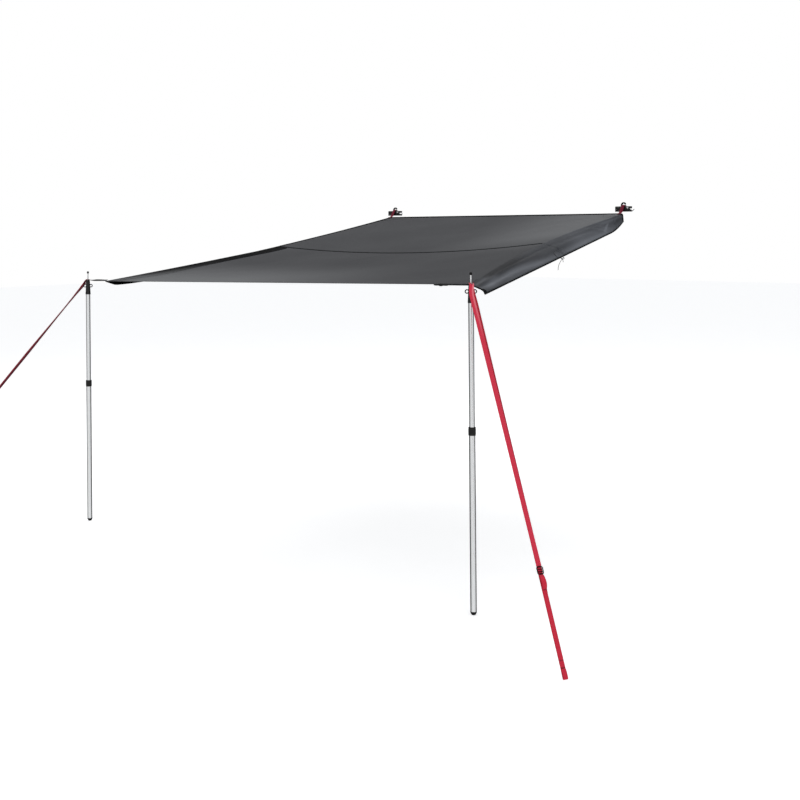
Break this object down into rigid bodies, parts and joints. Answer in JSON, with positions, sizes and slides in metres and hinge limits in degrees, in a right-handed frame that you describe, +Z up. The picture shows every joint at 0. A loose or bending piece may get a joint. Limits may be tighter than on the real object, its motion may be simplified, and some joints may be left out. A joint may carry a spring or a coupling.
{
  "type": "vehicle tarp",
  "caption": "Awning sheet that clamps to a vehicle's roof edge, with hanging side flaps, telescopic poles at its front corners and webbing guys with ladder-lock buckles.",
  "frame": {"origin": "midway between the two roof clamps, on the plane of their upper pads' faces", "axes": "+X along the vehicle's side, +Y towards the vehicle, +Z up"},
  "size_m": [5.0012, 3.1474, 2.016],
  "materials": {
    "jaw_plastic": "satin moulded",
    "jaw_rubber": "matte",
    "pole_rubber": "matte",
    "pole_plastic": "satin moulded",
    "pole_tube": "satin anodised",
    "bright_steel": "bright drawn",
    "black_steel": "black coated",
    "canopy_cloth": "coated woven",
    "flap_cloth": "coated woven, sheen",
    "black_webbing": "woven",
    "red_webbing": "woven",
    "dark_red_webbing": "woven",
    "grey_cord": "braided"
  },
  "bodies": {
    "awning": {"rear_panel": "canopy_cloth", "front_panel": "canopy_cloth", "right_flap": "flap_cloth", "left_flap": "flap_cloth", "right_corner_tab": "black_webbing", "left_corner_strap": "black_webbing", "right_corner_eyelet": "bright_steel", "left_corner_eyelet": "bright_steel", "right_tie_loop": "black_webbing", "left_tie_loop": "black_webbing", "right_tie_cord": "grey_cord", "rollup_strap": "black_webbing", "rollup_toggle": "pole_plastic", "right_clamp_upper_jaw": "jaw_plastic", "right_clamp_upper_pad": "jaw_rubber", "right_clamp_hook": "black_steel", "right_clamp_sling": "dark_red_webbing", "right_guy_front_leg": "red_webbing", "right_guy_back_leg": "red_webbing", "right_guy_tail": "red_webbing", "right_guy_lower_strap": "red_webbing", "left_clamp_upper_jaw": "jaw_plastic", "left_clamp_upper_pad": "jaw_rubber", "left_clamp_hook": "black_steel", "left_clamp_sling": "dark_red_webbing", "left_guy_front_leg": "red_webbing", "left_guy_back_leg": "red_webbing", "left_guy_tail": "red_webbing", "left_guy_lower_strap": "red_webbing"},
    "right_clamp_cam_lever": {"right_clamp_cam_pin": "bright_steel", "right_clamp_wire_lever": "bright_steel"},
    "right_clamp_moving_jaw": {"right_clamp_lower_jaw": "jaw_plastic", "right_clamp_lower_pad": "jaw_rubber"},
    "right_upper_pole": {"right_pole_inner_lock": "pole_plastic", "right_pole_upper_tube": "pole_tube", "right_pole_head": "pole_plastic", "right_pole_spike": "bright_steel", "right_pole_cap": "pole_plastic", "right_pole_outer_eye": "black_steel", "right_pole_inner_eye": "black_steel"},
    "right_lower_pole": {"right_pole_foot": "pole_rubber", "right_pole_lower_tube": "pole_tube"},
    "right_lock_collar": {"right_pole_collar": "pole_plastic"},
    "right_guy_buckle": {"right_guy_buckle": "pole_plastic"},
    "left_clamp_cam_lever": {"left_clamp_cam_pin": "bright_steel", "left_clamp_wire_lever": "bright_steel"},
    "left_clamp_moving_jaw": {"left_clamp_lower_jaw": "jaw_plastic", "left_clamp_lower_pad": "jaw_rubber"},
    "left_upper_pole": {"left_pole_inner_lock": "pole_plastic", "left_pole_upper_tube": "pole_tube", "left_pole_head": "pole_plastic", "left_pole_spike": "bright_steel", "left_pole_cap": "pole_plastic", "left_pole_outer_eye": "black_steel", "left_pole_inner_eye": "black_steel"},
    "left_lower_pole": {"left_pole_foot": "pole_rubber", "left_pole_lower_tube": "pole_tube"},
    "left_lock_collar": {"left_pole_collar": "pole_plastic"},
    "left_guy_buckle": {"left_guy_buckle": "pole_plastic"}
  },
  "joints": [
    {"name": "right_clamp_lever_turn", "type": "hinge", "parent": "awning", "child": "right_clamp_cam_lever", "pos_m": [1.031, -0.0213, 0.0033], "axis": [0, -1, 0], "range_deg": [0, 90]},
    {"name": "right_clamp_jaw_open", "type": "slide", "parent": "awning", "child": "right_clamp_moving_jaw", "axis": [0, 0, -1], "range_m": [0, 0.003]},
    {"name": "right_pole_swing", "type": "hinge", "parent": "awning", "child": "right_upper_pole", "pos_m": [1.5, -2.501, -0.404], "axis": [1, 0, 0], "range_deg": [-4, 4]},
    {"name": "right_pole_extend", "type": "slide", "parent": "right_upper_pole", "child": "right_lower_pole", "axis": [0, 0, -1], "range_m": [-0.58, 0.09]},
    {"name": "right_pole_collar_twist", "type": "hinge", "parent": "right_lower_pole", "child": "right_lock_collar", "pos_m": [1.5, -2.501, -1.096], "axis": [0, 0, 1], "range_deg": [0, 90]},
    {"name": "right_guy_buckle_tilt", "type": "hinge", "parent": "awning", "child": "right_guy_buckle", "pos_m": [2.0872, -2.83226, -1.59833], "axis": [0.4913, 0.871, 0], "range_deg": [0, 25]},
    {"name": "left_clamp_lever_turn", "type": "hinge", "parent": "awning", "child": "left_clamp_cam_lever", "pos_m": [-0.949, -0.0213, 0.0033], "axis": [0, -1, 0], "range_deg": [0, 90]},
    {"name": "left_clamp_jaw_open", "type": "slide", "parent": "awning", "child": "left_clamp_moving_jaw", "axis": [0, 0, -1], "range_m": [0, 0.003]},
    {"name": "left_pole_swing", "type": "hinge", "parent": "awning", "child": "left_upper_pole", "pos_m": [-1.5, -2.501, -0.449], "axis": [1, 0, 0], "range_deg": [-4, 4]},
    {"name": "left_pole_extend", "type": "slide", "parent": "left_upper_pole", "child": "left_lower_pole", "axis": [0, 0, -1], "range_m": [-0.53, 0.09]},
    {"name": "left_pole_collar_twist", "type": "hinge", "parent": "left_lower_pole", "child": "left_lock_collar", "pos_m": [-1.5, -2.501, -1.096], "axis": [0, 0, 1], "range_deg": [0, 90]},
    {"name": "left_guy_buckle_tilt", "type": "hinge", "parent": "awning", "child": "left_guy_buckle", "pos_m": [-2.43673, -2.97204, -1.60542], "axis": [0.4493, -0.8934, 0], "range_deg": [0, 25]}
  ],
  "couplings": [
    {"joint": "right_clamp_lever_turn", "follows": "right_clamp_jaw_open", "rad_per_m": 523.6},
    {"joint": "left_clamp_lever_turn", "follows": "left_clamp_jaw_open", "rad_per_m": 523.6}
  ]
}
